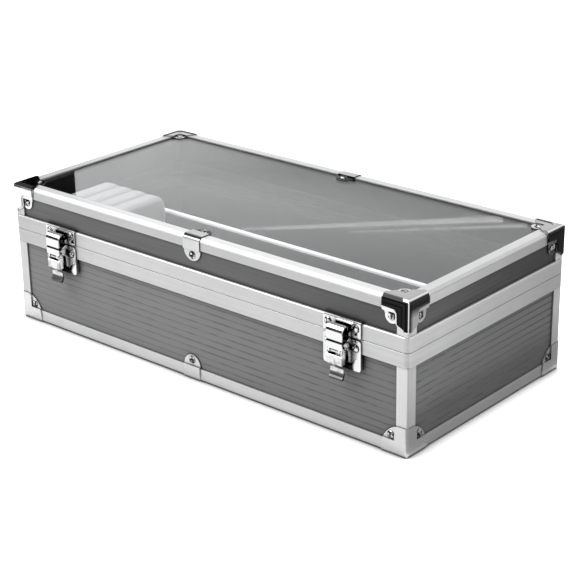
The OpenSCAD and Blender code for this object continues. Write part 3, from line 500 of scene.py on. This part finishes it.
def foam_block(index):
    cad = f"foam_spacer_{index}"
    low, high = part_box(cad)
    size = high - low
    mesh = bpy.data.meshes.new(f"foam_block_{index}")
    bm = bmesh.new()
    steps, corner, rounding, belly, margin = 10, 0.009, 0.0042, 0.00014, 0.00002
    outline = []
    for cy, a0 in ((size.y - corner, 0.0), (corner, 90.0)):
        for i in range(steps + 1):
            a = math.radians(a0 + 90.0 * i / steps)
            outline.append((cy + corner * math.cos(a), size.z - corner + corner * math.sin(a)))
    outline = [(size.y, 0.0), (size.y, size.z * 0.45)] + outline + [(0.0, size.z * 0.45), (0.0, 0.0)]
    front = [bm.verts.new((0.0, y, z)) for y, z in outline]
    back = [bm.verts.new((size.x, y, z)) for y, z in outline]
    count = len(outline)
    bm.faces.new(front[::-1])
    bm.faces.new(back)
    for i in range(count):
        j = (i + 1) % count
        bm.faces.new((front[i], front[j], back[j], back[i]))
    bmesh.ops.recalc_face_normals(bm, faces=bm.faces)
    edge_ring = [e for e in bm.edges if abs(e.verts[0].co.x - e.verts[1].co.x) < 1e-7]
    bmesh.ops.bevel(bm, geom=edge_ring, offset=rounding, segments=5, affect="EDGES", profile=0.5)
    phase = 1.7 * index
    for v in bm.verts:
        y, z = v.co.y / size.y, v.co.z / size.z
        sag = belly * math.sin(5.1 * z + phase) * math.sin(math.pi * y)
        v.co.x = min(max(v.co.x + sag, margin), size.x - margin)
    bm.to_mesh(mesh)
    bm.free()
    for polygon in mesh.polygons:
        polygon.use_smooth = True
    mesh.materials.append(FOAM)
    piece = bpy.data.objects.new(f"foam_block_{index}", mesh)
    scene.collection.objects.link(piece)
    piece.location = low
    sharp = piece.modifiers.new("normals", "WEIGHTED_NORMAL")
    sharp.keep_sharp = True
    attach(piece, "foam_spacers")
    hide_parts(cad)


for number in (1, 2, 3, 4):
    foam_block(number)


# floor, lights and camera

def plane(name, size_x, size_y, location, rotation=(0.0, 0.0, 0.0)):
    mesh = bpy.data.meshes.new(name)
    x, y = size_x / 2, size_y / 2
    mesh.from_pydata([(-x, -y, 0), (x, -y, 0), (x, y, 0), (-x, y, 0)], [], [(0, 1, 2, 3)])
    piece = bpy.data.objects.new(name, mesh)
    scene.collection.objects.link(piece)
    piece.location = location
    piece.rotation_euler = rotation
    return piece


def floor_material():
    """White paper with a tight contact shadow; what lifts it to white is seen by the camera alone."""
    mat = bpy.data.materials.new("floor_white")
    mat.use_nodes = True
    tree = mat.node_tree

    def add(kind, **inputs):
        node = tree.nodes.new(kind)
        for socket, value in inputs.items():
            node.inputs[socket.replace("_", " ")].default_value = value
        return node

    bsdf = tree.nodes["Principled BSDF"]
    bsdf.inputs["Roughness"].default_value = 0.9
    bsdf.inputs["Specular IOR Level"].default_value = 0.0
    near = add("ShaderNodeAmbientOcclusion", Distance=0.019)
    near.samples = 8
    contact = add("ShaderNodeMapRange", From_Min=0.36, From_Max=0.88, To_Min=0.06, To_Max=0.86)
    lift = add("ShaderNodeMapRange", To_Min=0.0, To_Max=1.1)
    path = add("ShaderNodeLightPath")
    glow = add("ShaderNodeEmission")
    total = add("ShaderNodeAddShader")
    both = tree.nodes.new("ShaderNodeMath")
    both.operation = "MULTIPLY"
    for out, into in (
        (near.outputs["AO"], contact.inputs["Value"]),
        (contact.outputs[0], bsdf.inputs["Base Color"]),
        (path.outputs["Is Camera Ray"], lift.inputs["Value"]),
        (lift.outputs[0], both.inputs[0]),
        (contact.outputs[0], both.inputs[1]),
        (both.outputs[0], glow.inputs["Strength"]),
        (bsdf.outputs["BSDF"], total.inputs[0]),
        (glow.outputs["Emission"], total.inputs[1]),
        (total.outputs["Shader"], tree.nodes["Material Output"].inputs["Surface"]),
    ):
        tree.links.new(out, into)
    return mat


floor = plane("floor", 12.0, 12.0, (0.0, 0.0, 0.0))
floor.data.materials.append(floor_material())


def flag(name, value, *args, **kwargs):
    """A card that shines from its front and is seen in reflections alone, until it is set otherwise."""
    piece = plane(name, *args, **kwargs)
    mat = bpy.data.materials.new(name)
    mat.use_nodes = True
    tree = mat.node_tree
    glow = tree.nodes.new("ShaderNodeEmission")
    glow.inputs["Color"].default_value = (value, value, value, 1.0)
    clear = tree.nodes.new("ShaderNodeBsdfTransparent")
    facing = tree.nodes.new("ShaderNodeNewGeometry")
    both = tree.nodes.new("ShaderNodeMixShader")
    tree.links.new(facing.outputs["Backfacing"], both.inputs[0])
    tree.links.new(glow.outputs["Emission"], both.inputs[1])
    tree.links.new(clear.outputs["BSDF"], both.inputs[2])
    tree.links.new(both.outputs["Shader"], tree.nodes["Material Output"].inputs["Surface"])
    piece.data.materials.append(mat)
    piece.visible_camera = False
    piece.visible_diffuse = False
    piece.visible_shadow = False
    piece.visible_transmission = False
    return piece


# a dark card behind on the left, a dark room round the camera, and cards beside the case that stand in for
# its shaded floor: painted shade, seen in reflections and, from the side card, in light bounced onto the case
left = flag("flag_left", 0.012, 3.1, 1.6, (-2.45, 0.6, 0.8), (math.radians(90), 0.0, 0.0))
left.visible_transmission = True
flag("flag_west", 0.03, 5.0, 1.2, (-4.0, -2.0, 0.6), (math.radians(90), 0.0, math.radians(90)))
flag("flag_south", 0.03, 8.0, 1.2, (0.0, -4.0, 0.6), (math.radians(-90), 0.0, 0.0))
flag("flag_east", 0.03, 5.0, 1.2, (4.0, -2.0, 0.6), (math.radians(90), 0.0, math.radians(-90)))
flag("flag_floor_side", 0.45, 0.5, 0.9, (0.43, 0.3, 0.002))
flag("flag_floor_near", 0.2, 0.036, 0.44, (0.194, 0.05, 0.0025))
side = flag("flag_side", 0.02, 0.13, 0.24, (0.247, 0.01, 0.003))
side.visible_diffuse = True
side.visible_glossy = False


def streak(name, value, corners):
    """A pale strip behind the object, for the streaks in the window."""
    piece = flag(name, value, 0.1, 0.1, (0.0, 0.0, 0.0))
    for vertex, (x, z) in zip(piece.data.vertices, corners):
        vertex.co = (x, 0.7, z)
    piece.visible_transmission = True


streak("streak_long", 1.6, ((-0.688, 0.4735), (-0.278, 0.3657), (-0.278, 0.3733), (-0.688, 0.4775)))
streak("streak_short", 1.4, ((-0.503, 0.4362), (-0.245, 0.3675), (-0.245, 0.3718), (-0.503, 0.4382)))
streak("streak_left", 1.25, ((-1.003, 0.441), (-0.772, 0.354), (-0.772, 0.367), (-1.003, 0.445)))


def area(name, size, power, location, target):
    data = bpy.data.lights.new(name, "AREA")
    data.shape = "RECTANGLE"
    data.size, data.size_y = size
    data.energy = power
    lamp = bpy.data.objects.new(name, data)
    scene.collection.objects.link(lamp)
    lamp.location = location
    lamp.rotation_euler = (Vector(target) - Vector(location)).to_track_quat("-Z", "Y").to_euler()
    lamp.visible_camera = False


area("key", (1.6, 1.2), 26.0, (-0.9, -1.0, 1.6), (0.0, 0.0, 0.05))
area("top", (1.8, 1.8), 16.0, (0.1, 0.3, 2.0), (0.0, 0.0, 0.05))


def studio_world():
    """White to the camera; to reflections a sweep that pales downward, with a duller slanting band; else a
    soft fill, a little more from the right."""
    world = bpy.data.worlds.new("studio")
    scene.world = world
    world.use_nodes = True
    tree = world.node_tree
    background = tree.nodes["Background"]
    background.inputs["Color"].default_value = (1.0, 1.0, 1.0, 1.0)

    def ramp(value, low, high, to_low, to_high):
        node = tree.nodes.new("ShaderNodeMapRange")
        for socket, number in (("From Min", low), ("From Max", high)):
            node.inputs[socket].default_value = number
        for socket, number in (("To Min", to_low), ("To Max", to_high)):
            if isinstance(number, float):
                node.inputs[socket].default_value = number
            else:
                tree.links.new(number, node.inputs[socket])
        tree.links.new(value, node.inputs["Value"])
        return node.outputs["Result"]

    def join(operation, a, b):
        node = tree.nodes.new("ShaderNodeMath")
        node.operation = operation
        tree.links.new(a, node.inputs[0])
        if isinstance(b, float):
            node.inputs[1].default_value = b
        else:
            tree.links.new(b, node.inputs[1])
        return node.outputs[0]

    split = tree.nodes.new("ShaderNodeSeparateXYZ")
    tree.links.new(tree.nodes.new("ShaderNodeTexCoord").outputs["Generated"], split.inputs[0])
    path = tree.nodes.new("ShaderNodeLightPath")
    shiny = join("MAXIMUM", path.outputs["Is Glossy Ray"], path.outputs["Is Transmission Ray"])
    fill = ramp(split.outputs["X"], -0.2, 0.8, 0.55, 0.66)
    lean, dull = 3.4, 0.62
    height = join("MAXIMUM", split.outputs["Z"], 0.31)
    slant = join("SUBTRACT", split.outputs["X"], join("MULTIPLY", height, lean))
    band = join("MAXIMUM", ramp(slant, -1.748, -1.678, 1.0, dull), ramp(slant, -1.628, -1.548, dull, 1.0))
    sweep = ramp(split.outputs["Z"], 0.314, 0.366, join("MULTIPLY", band, 1.23), 0.84)
    unseen = ramp(shiny, 0.0, 1.0, fill, sweep)
    tree.links.new(ramp(path.outputs["Is Camera Ray"], 0.0, 1.0, unseen, 1.0), background.inputs["Strength"])


studio_world()

# camera solved from the photograph's corners: yaw, pitch and roll in radians
YAW, PITCH, ROLL = -0.72286, 0.38666, -0.01746
LENS_PX, FRAME_PX = 1615.2, 575.0
forward = Vector((math.sin(YAW) * math.cos(PITCH), math.cos(YAW) * math.cos(PITCH), -math.sin(PITCH)))
right = Vector((math.cos(YAW), -math.sin(YAW), 0.0))
up = right.cross(forward)
right, up = (math.cos(ROLL) * right + math.sin(ROLL) * up, math.cos(ROLL) * up - math.sin(ROLL) * right)
data = bpy.data.cameras.new("camera")
data.sensor_width = 36.0
data.lens = LENS_PX / FRAME_PX * data.sensor_width
data.clip_end = 50.0
camera = bpy.data.objects.new("camera", data)
scene.collection.objects.link(camera)
turn = Matrix((right, up, -forward)).transposed().to_4x4()
camera.matrix_world = Matrix.Translation((0.687778, -0.769875, 0.460446)) @ turn
scene.camera = camera

scene.view_settings.view_transform = "Standard"
